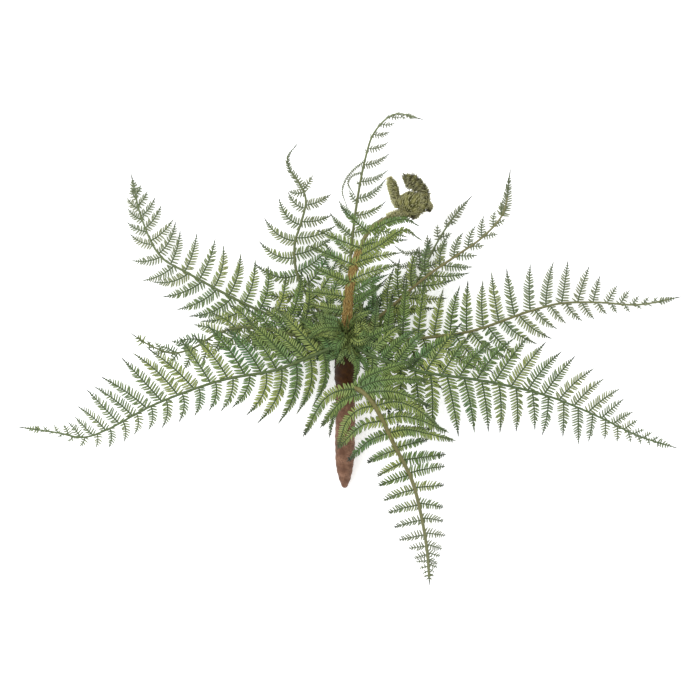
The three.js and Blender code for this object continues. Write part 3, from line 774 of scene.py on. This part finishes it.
# %% [markdown]
# ## Growing the ten open fronds
#
# A tree is put on a skeleton as a modifier, its inputs are set by their identifiers, and the result
# is taken as a plain mesh. Leaflets that would sink into the floor are pressed against it: the lower
# a point is, the more it is lifted.

# %% From a skeleton to a plain mesh
ON_FLOOR = 0.15 * MM
PRESSED = 1.6 * MM


def grown(name, paths, tree, keys, values):
    """What a tree makes of a skeleton of these paths, as a plain mesh, pressed flat on the floor."""
    piece = skeleton(name, paths)
    modifier = piece.modifiers.new("grow", "NODES")
    modifier.node_group = tree
    for key, value in values.items():
        modifier[keys[key]] = value
    graph = bpy.context.evaluated_depsgraph_get()
    mesh = bpy.data.meshes.new_from_object(
        piece.evaluated_get(graph), preserve_all_data_layers=True, depsgraph=graph)
    piece.modifiers.remove(modifier)
    bare, piece.data = piece.data, mesh
    bpy.data.meshes.remove(bare)
    mesh.name = name
    points = np.empty(3 * len(mesh.vertices), np.float32)
    mesh.vertices.foreach_get("co", points)
    low = np.minimum(points[2::3], PRESSED)
    points[2::3] += ON_FLOOR + (PRESSED - ON_FLOOR) * np.exp((low - PRESSED) / (PRESSED - ON_FLOOR)) - low
    mesh.vertices.foreach_set("co", points)
    return piece


print("points lower than", PRESSED / MM, "mm are lifted")

# %% [markdown]
# Every frond starts deep in the stake, at its own place on the ring of holes, except the front one,
# which is thicker and leaves the stake's side below the collar.

# %% Open fronds
FIRST_HOLE, HOLE_STEP, HOLE_RING = 120, 37.5, 7.2
SEAT_DEPTH, SEAT_RISE = 20, 9
SIDE_HOLE, SIDE_RISE = 38, 19.2
STEM_RADII = (1.7, 0.7)
FRONT_STEM_RADII = (2.5, 1.2)
FROND_VALUES = {
    "Leaflet": open_leaflet, "Point": leaf_point, "Leaf finish": leaf_skin, "Stem finish": stem_skin}


def seat_at(place):
    """A point deep in the stake and one just out of it."""
    return [place - SEAT_DEPTH * stake_along, place + SEAT_RISE * stake_along]


def ring_seat(index):
    """Where a stem stands on the ring of holes."""
    angle = math.radians(FIRST_HOLE + index * HOLE_STEP)
    return seat_at(CROWN + HOLE_RING * (math.cos(angle) * stake_across + math.sin(angle) * stake_up))


on_axis = CROWN - SIDE_HOLE * stake_along
side_seat = [on_axis, on_axis + np.array([0, 0, SIDE_RISE])]
for index, (name, frond) in enumerate(FRONDS.items()):
    is_front = name == "frond_front"
    line = smooth_line([*(side_seat if is_front else ring_seat(index)), *frond["route"]])
    line[:, 2] = np.maximum(line[:, 2], FLOOR_GAP - TO_ROW[2])
    length = run_of(line)[-1]
    rng = np.random.default_rng(40 + index)
    stem = stem_path(frond, line, length, *(FRONT_STEM_RADII if is_front else STEM_RADII))
    ribs = [*pinna_paths(frond, line, length, rng), tip_path(frond, line, length)]
    ribs += [single_path(*single, frond, rng) for single in SINGLES.get(name, [])]
    piece = grown(
        name + "_leaf", [stem, *ribs], grow, grow_inputs,
        {**FROND_VALUES, "Seed": index, "Taper": frond["taper"]})
    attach(piece, "root")
    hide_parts(name)
    print(piece.name, "length", round(length), "mm,", len(piece.data.polygons), "faces")

# %% [markdown]
# ## The young frond's finishes
#
# A young frond is still wrapped in scales and hairs. Its stalk is straw brown and its coil a dull olive, and
# both are painted darker at the roots of the scales and in the gaps between the furled leaflets, as painted
# shade where they overlap. These finishes are the same mix with other colours: a light one on the ends of
# the scales, a dark one of painted shade at their roots, which `up_leaflet` tells apart, and a mottle on
# top.


# %% Young frond's finishes
def scaly(name, root, end, mottled, grain_width, rough):
    """A dull skin of scales, with painted shade at their roots."""
    made, tree, place, on_scale = new_finish(name, ("up_leaflet", "darken"))
    spots = add(tree, "ShaderNodeTexNoise", {"Vector": place, "Scale": 1 / grain_width, "Detail": 3.0})
    spot_share = add(tree, "ShaderNodeMapRange", {
        "Value": spots, "From Min": 0.42, "From Max": 0.68, "To Max": 0.7})
    # The root colour is painted shade where the scales overlap; it turns into the end colour along
    # up_leaflet.
    colour = linear(root)
    for share, swatch in (
        (on_scale["up_leaflet"], end), (spot_share, mottled), (on_scale["darken"], "#302C18"),
    ):
        colour = add(tree, "ShaderNodeMix", {0: share, 6: colour, 7: linear(swatch)}, data_type="RGBA")
    grain = add(tree, "ShaderNodeBump", {"Height": spots, "Strength": 0.5, "Distance": 0.3 * MM})
    fill(tree, tree.nodes["Principled BSDF"], {
        "Base Color": colour, "Roughness": rough, "Normal": grain, "Specular IOR Level": 0.2})
    return made


# The first colour of each finish is the painted shade at the roots of its scales.
straw_scales = scaly("straw_brown_scales", "#6E5A2C", "#BFA468", "#8F7038", 3 * MM, 0.7)
furled_skin = scaly("furled_olive_leaf", "#3A3A14", "#E2DEAC", "#A6A464", 4 * MM, 0.65)
ruff_skin = scaly("olive_ruff_leaf", "#3C4A22", "#6E7A40", "#52602E", 5 * MM, 0.6)
print("made", straw_scales.name, furled_skin.name, ruff_skin.name)

# %% [markdown]
# ## Clothing a path with scales
#
# Scales sit round a stalk like the seeds of a sunflower: each one is turned from the last by the
# golden angle, about 137.5 degrees, so no two sit in line. They could be scattered at random over
# the surface, but random points leave bald spots. The tree walks along a path, makes its `Turn` at
# each step, moves out to the surface and lays a scale there. `Lift` raises a scale off the surface,
# and `Wrap` turns it across the path.

# %% The clothing tree
clothe, given, known, clothe_inputs = new_tree(
    "clothe_path", "Clothed", (
        ("Path", "Geometry", None),
        ("Scale shape", "Object", None),
        ("Pitch", "Float", 0.4 * MM),
        ("Turn", "Float", math.pi * (3 - math.sqrt(5))),
        ("Lift", "Float", 0.3),
        ("Wrap", "Float", 0.3),
        ("Thickness", "Float", 0.5 * MM),
        ("Unrest", "Float", 0.2),
        ("Tube sides", "Int", 12),
        ("Seed", "Int", 1),
        ("Finish", "Material", None),
    ), ("reach", "breadth", "girth"))
lines = add(clothe, "GeometryNodeMeshToCurve", {"Mesh": given["Path"]})
steps = add(clothe, "GeometryNodeResampleCurve", {"Curve": lines, "Length": given["Pitch"]}, mode="LENGTH")
index = add(clothe, "GeometryNodeInputIndex")
angle = add(clothe, "ShaderNodeMath", {0: index, 1: given["Turn"]}, operation="MULTIPLY")
turn = add(clothe, "FunctionNodeAxisAngleToRotation", {"Axis": known["ahead"], "Angle": angle})
outward = add(clothe, "FunctionNodeRotateVector", {"Vector": known["face"], "Rotation": turn})
to_skin = add(clothe, "ShaderNodeVectorMath", {0: outward, "Scale": known["girth"]}, operation="SCALE")
on_skin = add(clothe, "GeometryNodeSetPosition", {"Geometry": steps, "Offset": to_skin})
wrap_turn = add(clothe, "FunctionNodeAxisAngleToRotation", {"Axis": outward, "Angle": given["Wrap"]})
wrapped = add(clothe, "FunctionNodeRotateVector", {"Vector": known["ahead"], "Rotation": wrap_turn})
raised = add(clothe, "ShaderNodeVectorMath", {0: outward, "Scale": given["Lift"]}, operation="SCALE")
lie = add(clothe, "ShaderNodeVectorMath", {0: wrapped, 1: raised}, operation="ADD")
shape = add(clothe, "GeometryNodeObjectInfo", {"Object": given["Scale shape"]}).outputs["Geometry"]
scales = lay(
    clothe, on_skin, shape, lie, outward, (known["breadth"], known["reach"], given["Thickness"]),
    given["Unrest"], given["Seed"])
core = tube(clothe, lines, given["Tube sides"], known["girth"])
both = add(clothe, "GeometryNodeJoinGeometry", {"Geometry": [core, scales]})
real = add(clothe, "GeometryNodeRealizeInstances", {"Geometry": both})
smooth = add(clothe, "GeometryNodeSetShadeSmooth", {"Geometry": real})
finished = add(clothe, "GeometryNodeSetMaterial", {"Geometry": smooth, "Material": given["Finish"]})
add(clothe, "NodeGroupOutput", {"Clothed": finished})
print("the clothing tree has", len(clothe.nodes), "nodes")

# %% [markdown]
# ## The young frond
#
# Its stalk rises from the middle of the crown, bends to the right and rolls up. The coil follows the
# solid's: how far its outside is from its middle, and its radius, are given at angles round it.

# %% The line of the young frond
furled_leaflet = leaflet(
    "furled_leaflet",
    [(0, 0.36, 0.4, 0.4), (0.3, 0.5, 0.55, 0.4), (0.65, 0.44, 0.5, 0.4), (0.9, 0.24, 0.3, 0.2)],
    end=0.5, bend=0.25)
COIL_CENTRE = np.array([55.5, 138, 80])
COIL_DEGREES = (-125, -90, -73, -45, -21, 0, 35, 60, 90, 107, 128)
COIL_OUTSIDE = (22.8, 19.5, 19.5, 18, 15.5, 14.2, 13.4, 14.2, 16.6, 18.2, 17.5)
COIL_GIRTH = (1.8, 4.2, 6, 6.5, 4.6, 3.2, 4.4, 5.6, 5.9, 5.4, 3.8)
turn = np.arange(COIL_DEGREES[0], COIL_DEGREES[-1] + 1, 11)
coil_radius = np.interp(turn, COIL_DEGREES, np.subtract(COIL_OUTSIDE, COIL_GIRTH))
coil = COIL_CENTRE + coil_radius[:, None] * np.stack(
    [np.cos(np.radians(turn)), np.sin(np.radians(turn)), 0 * turn], axis=1)
young_line = smooth_line([*seat_at(CROWN), *YOUNG["route"], *coil])
print("the young frond's line is", round(run_of(young_line)[-1]), "mm long")

# %% [markdown]
# The coil gets lumps, and dark bands cross its arm. A heart of furled leaflets nearly fills its
# middle. The dark ends of two furled pinnae stick out of it like knuckles, and a longer one stands
# beside it like a finger.

# %% Coil, heart, finger and knuckles
COIL_START = 154
BAND_DEPTHS = ((-60, 20), (0, 0.75))
KNUCKLES = ((-73, 3), (-29, 2))


def scaly_path(line, start, end, girth, reach, breadth, darken=0.0):
    """A stretch of a line to be clothed. girth is the tube's radius at even places along it."""
    run = np.linspace(start, end, max(6, round(end - start)))
    share = (run - start) / (end - start)
    return dict(
        stretch(line, run), reach=reach * MM, breadth=breadth * MM, darken=darken * share**2,
        girth=np.interp(share, np.linspace(0, 1, len(girth)), girth) * MM)


def compass(degrees):
    """The level direction at an angle, and the one a quarter turn on."""
    out = np.array([math.cos(math.radians(degrees)), math.sin(math.radians(degrees)), 0])
    return out, np.array([-out[1], out[0], 0])


coil_path = scaly_path(young_line, COIL_START, run_of(young_line)[-1] - 1, (2.4,), 3.6, 0.6)
from_centre = coil_path["points"] - COIL_CENTRE
wound = np.degrees(np.unwrap(np.arctan2(from_centre[:, 1], from_centre[:, 0])))
beat = np.arange(len(wound))
lumps = 1 + 0.08 * np.sin(beat * 1.1) + 0.05 * np.sin(beat * 1.85 + 1)
coil_path["girth"] = np.interp(wound, COIL_DEGREES, COIL_GIRTH) * lumps * MM
coil_path["darken"] = np.interp(wound, *BAND_DEPTHS) * (0.5 + 0.5 * np.sin(beat * 1.5))
heart_line = smooth_line([(41, 129, 80), (47, 130, 83), (55, 130, 84), (63, 128, 81)])
heart_path = scaly_path(heart_line, 0.5, run_of(heart_line)[-1] - 0.5, (4, 6, 9.6, 9.4, 4.8), 3.2, 0.6)
finger_line = smooth_line([(45, 125, 79), (41, 132, 81), (38.5, 142, 84), (35, 152, 86)])
finger_path = scaly_path(finger_line, 2, run_of(finger_line)[-1], (3, 3.4, 3.6, 4, 3.7, 0.8), 2.8, 0.6)
knuckle_paths = []
for degrees, lift in KNUCKLES:
    outside, onward = compass(degrees)
    foot = COIL_CENTRE + 13 * outside - 3 * onward
    line = smooth_line([
        foot, foot + 6 * outside + 1.5 * onward, foot + 7 * outside - 3.5 * onward + (0, 0, lift)])
    knuckle_paths.append(
        scaly_path(line, 0.5, run_of(line)[-1] - 0.2, (2.2, 1.9, 1.1), 2.4, 0.8, darken=1))
print("the coil winds through", round(wound[-1] - wound[0]), "degrees")

# %% [markdown]
# The young frond's own pinnae are grown like those of the open fronds. A fan of short pinnae, spread
# by the golden section so that no two point the same way, and a ruff of olive leaflets hide where the
# stalk leaves the crown. The fan is shorter at the front, where the stake shows.

# %% Pinnae, fan and ruff
STALK_LENGTH = 112
YOUNG_LENGTH = 190
GREEN_OVERLAP = 8
FAN_PINNAE = 38
FAN_RUN = (19, 44)
FAN_START, FAN_SWEEP, FAN_FRONT = 128, 284, 270
FAN_LENGTH = (16, 42)
FAN_LENGTH_BY_TURN = ((20, 60), (0.62, 1))
RUFF_GIRTH = (4.2,)
rng = np.random.default_rng(60)
green_run = np.linspace(STALK_LENGTH - GREEN_OVERLAP, COIL_START + GREEN_OVERLAP, 16)
green_stem = dict(stretch(young_line, green_run), girth=1.9 * MM, tan=0.45)
young_ribs = pinna_paths(YOUNG, young_line, YOUNG_LENGTH, rng)
young_ribs += [single_path(*single, YOUNG, rng) for single in SINGLES["young_frond"]]
for index in range(FAN_PINNAE):
    degrees = FAN_START + FAN_SWEEP * (index * 0.618 % 1)
    long = rng.uniform(*FAN_LENGTH) * np.interp(abs(degrees - FAN_FRONT), *FAN_LENGTH_BY_TURN)
    out, aside = compass(degrees)
    foot = walk(young_line, [rng.uniform(*FAN_RUN)])[0][0] + 3 * out + (0, 0, rng.uniform(0, 3))
    bent = foot + 0.5 * long * out + rng.uniform(-10, 10) * aside + (0, 0, rng.uniform(3, 12))
    end = foot + long * out + rng.uniform(-14, 14) * aside + (0, 0, rng.uniform(-3, 8))
    young_ribs.append(single_path(rng.uniform(0.2, 0.55), 0.05, [foot, bent, end], YOUNG, rng))
stalk_path = scaly_path(young_line, 1, STALK_LENGTH, (4.2, 3.9, 4, 3.6, 2.8), 4.2, 0.9)
ruff_up = scaly_path(young_line, 21, 44, RUFF_GIRTH, 15, 1.3)
ruff_down = scaly_path(young_line, 24, 36, RUFF_GIRTH, 16, 1.3)
ruff_down["ahead"] = -ruff_down["ahead"]
print("the young frond has", len(young_ribs), "pinnae with its fan")

# %% Young frond
young_pieces = [
    grown(
        "young_frond_leaf", [green_stem, *young_ribs], grow, grow_inputs, {**FROND_VALUES, "Seed": 60}),
    grown(
        "young_frond_stalk", [stalk_path], clothe, clothe_inputs, {
            "Scale shape": open_leaflet, "Pitch": 0.1 * MM, "Lift": 0.2, "Wrap": 0.15, "Seed": 61,
            "Finish": straw_scales}),
    grown(
        "young_frond_coil", [coil_path, heart_path, finger_path, *knuckle_paths], clothe, clothe_inputs, {
            "Scale shape": furled_leaflet, "Pitch": 0.055 * MM, "Lift": 0.45, "Wrap": 1.2,
            "Thickness": 0.6 * MM, "Unrest": 0.4, "Seed": 62, "Finish": furled_skin}),
    grown(
        "young_frond_ruff", [ruff_up, ruff_down], clothe, clothe_inputs, {
            "Scale shape": open_leaflet, "Pitch": 0.12 * MM, "Lift": 0.95, "Wrap": 0.2, "Unrest": 0.5,
            "Seed": 63, "Finish": ruff_skin}),
]
for piece in young_pieces:
    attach(piece, "root")
    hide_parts("young_frond")
    print(piece.name, len(piece.data.polygons), "faces")

# %% [markdown]
# ## The stake
#
# The stake is a round brown spike with a blunt point and a darker collar, moulded to look like a
# bare root: mottled red brown, with faint rings round it. A cylinder with a cone on its end would
# have a hard corner where they meet. Here a profile is turned round the stake's axis, ring by ring,
# and each ring is pushed in and out a little, so that the light breaks on it as on a real root. The
# distance from the point, `up_stake`, is stored for the finish.

# %% Stake finish
root_skin, tree, place, on_stake = new_finish("moulded_root_brown", ("up_stake",))
BLOTCH = 7 * MM
FLECK = 1.5 * MM
blotches = add(tree, "ShaderNodeTexNoise", {"Vector": place, "Scale": 1 / BLOTCH, "Detail": 3.0})
flecks = add(tree, "ShaderNodeTexNoise", {"Vector": place, "Scale": 1 / FLECK, "Detail": 3.0})
blotch_share = add(tree, "ShaderNodeMapRange", {"Value": blotches, "From Min": 0.35, "From Max": 0.65})
fleck_share = add(tree, "ShaderNodeMapRange", {
    "Value": flecks, "From Min": 0.52, "From Max": 0.68, "To Max": 0.7})
colour = linear("#664634")
for share, swatch in ((blotch_share, "#8C6852"), (fleck_share, "#5A3D2E")):
    colour = add(tree, "ShaderNodeMix", {0: share, 6: colour, 7: linear(swatch)}, data_type="RGBA")
ramp = add(tree, "ShaderNodeValToRGB", {"Fac": on_stake["up_stake"]})
for rise, swatch in ((0.74, "#FFFFFF"), (0.755, "#E0907C"), (0.775, "#8E7630"), (0.98, "#766428")):
    ramp.color_ramp.elements.new(rise).color = linear(swatch)
ramp.color_ramp.elements[0].color = linear("#FFFFFF")
ramp.color_ramp.elements.remove(ramp.color_ramp.elements[-1])
collared = add(tree, "ShaderNodeMix", {0: 1.0, 6: colour, 7: ramp}, data_type="RGBA", blend_type="MULTIPLY")
grain = add(tree, "ShaderNodeBump", {"Height": flecks, "Strength": 0.5, "Distance": 0.4 * MM})
fill(tree, tree.nodes["Principled BSDF"], {
    "Base Color": collared, "Roughness": 0.6, "Normal": grain, "Specular IOR Level": 0.2})
print("made", root_skin.name)

# %% Stake
STAKE_RADIUS = 9
COLLAR_RADIUS = 10.2
COLLAR_EDGE = 0.8
SIDES = 64
stake_length = np.linalg.norm(CROWN - STAKE_POINT)
collar_foot = stake_length - 26
profile = np.array([
    (0, 0), (1.4, 0.4), (0.28 * STAKE_RADIUS, 1.5), (0.56 * STAKE_RADIUS, 8), (0.8 * STAKE_RADIUS, 17),
    (0.95 * STAKE_RADIUS, 28), (STAKE_RADIUS, 42), (0.97 * STAKE_RADIUS, collar_foot - 6),
    (COLLAR_RADIUS, collar_foot), (COLLAR_RADIUS, stake_length - COLLAR_EDGE),
    (COLLAR_RADIUS - COLLAR_EDGE, stake_length)])
rises = np.concatenate([np.linspace(0.4, 42, 40), np.linspace(43, stake_length, 70)])
radii = np.interp(rises, profile[:, 1], profile[:, 0])
turns = np.linspace(0, 2 * math.pi, SIDES, endpoint=False)
rings = []
for rise, radius in zip(rises, radii):
    knot = 0.16 * np.sin(rise * 0.9 + 0.8 * np.sin(2 * turns)) + 0.12 * np.sin(3 * turns + rise * 0.23)
    around = (radius + knot * min(1, radius / 5))[:, None] * (
        np.cos(turns)[:, None] * stake_across + np.sin(turns)[:, None] * stake_up)
    rings.append(CROWN + (rise - stake_length) * stake_along + around)
points = np.concatenate([*rings, [CROWN - stake_length * stake_along], [CROWN]])
faces = []
for row in range(len(rises) - 1):
    for k in range(SIDES):
        here, there = row * SIDES + k, row * SIDES + (k + 1) % SIDES
        faces.append((here, here + SIDES, there + SIDES, there))
tip, top = len(points) - 2, len(points) - 1
last = (len(rises) - 1) * SIDES
for k in range(SIDES):
    faces.append((tip, k, (k + 1) % SIDES))
    faces.append((top, last + (k + 1) % SIDES, last + k))
stake_mesh = bpy.data.meshes.new("stake_root")
stake_mesh.from_pydata(((points + TO_ROW) * MM).tolist(), [], faces)
stake_mesh.shade_smooth()
shares = np.concatenate([np.repeat(rises, SIDES), [0, stake_length]]) / stake_length
stake_mesh.attributes.new("up_stake", "FLOAT", "POINT").data.foreach_set("value", shares.astype(np.float32))
stake_mesh.materials.append(root_skin)
stake = bpy.data.objects.new("stake_root", stake_mesh)
bpy.context.scene.collection.objects.link(stake)
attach(stake, "root")
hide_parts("stake")
print(stake.name, len(stake_mesh.polygons), "faces,", round(stake_length, 1), "mm long")

# %% [markdown]
# ## Light, floor and camera
#
# The tuft is seen from straight above, as in the photograph, with the stake pointing to the bottom
# of the picture. A long lens keeps the low tips and the high stems at nearly the same scale. The
# light is a white room and one large soft lamp from the upper left, so the shadows stay faint.

# %% Stage
scene = bpy.context.scene
scene.view_settings.view_transform = "Standard"
world = bpy.data.worlds.new("white_room")
world.use_nodes = True
scene.world = world
fill(world.node_tree, world.node_tree.nodes["Background"], {"Color": linear("#FBFCFF"), "Strength": 0.95})

HALF_FLOOR = 3.0
floor_mesh = bpy.data.meshes.new("floor")
corners = [(x * HALF_FLOOR, y * HALF_FLOOR, 0) for x, y in ((-1, -1), (1, -1), (1, 1), (-1, 1))]
floor_mesh.from_pydata(corners, [], [(0, 1, 2, 3)])
floor = bpy.data.objects.new("floor", floor_mesh)
scene.collection.objects.link(floor)
paper = bpy.data.materials.new("matt_white_paper")
paper.use_nodes = True
fill(paper.node_tree, paper.node_tree.nodes["Principled BSDF"], {
    "Base Color": linear("#F8F8F7"), "Roughness": 0.9, "Emission Color": linear("#FFFFFF"),
    "Emission Strength": 0.45})
floor_mesh.materials.append(paper)

lamp = bpy.data.lights.new("soft_lamp", "AREA")
lamp.size = 1.8
lamp.energy = 30
lamp_object = bpy.data.objects.new("soft_lamp", lamp)
lamp_object.location = (-1.1, 1.0, 1.9)
lamp_object.rotation_euler = (-lamp_object.location).to_track_quat("-Z", "Y").to_euler()
scene.collection.objects.link(lamp_object)

LENS = 200
PICTURE_WIDTH = 0.630
camera = bpy.data.cameras.new("camera")
camera.lens = LENS
camera.sensor_width = 36
camera_object = bpy.data.objects.new("camera", camera)
camera_object.location = (0, -1.85 * MM, 40 * MM + PICTURE_WIDTH * LENS / camera.sensor_width)
camera.clip_end = 20
scene.collection.objects.link(camera_object)
scene.camera = camera_object
print("the camera hangs", round(camera_object.location.z, 3), "m above the floor")

# %% [markdown]
# ## The end
#
# The leaflets that everything was grown from have done their work, and are removed.

# %% Finish
for shape in (open_leaflet, leaf_point, furled_leaflet):
    bpy.data.objects.remove(shape)
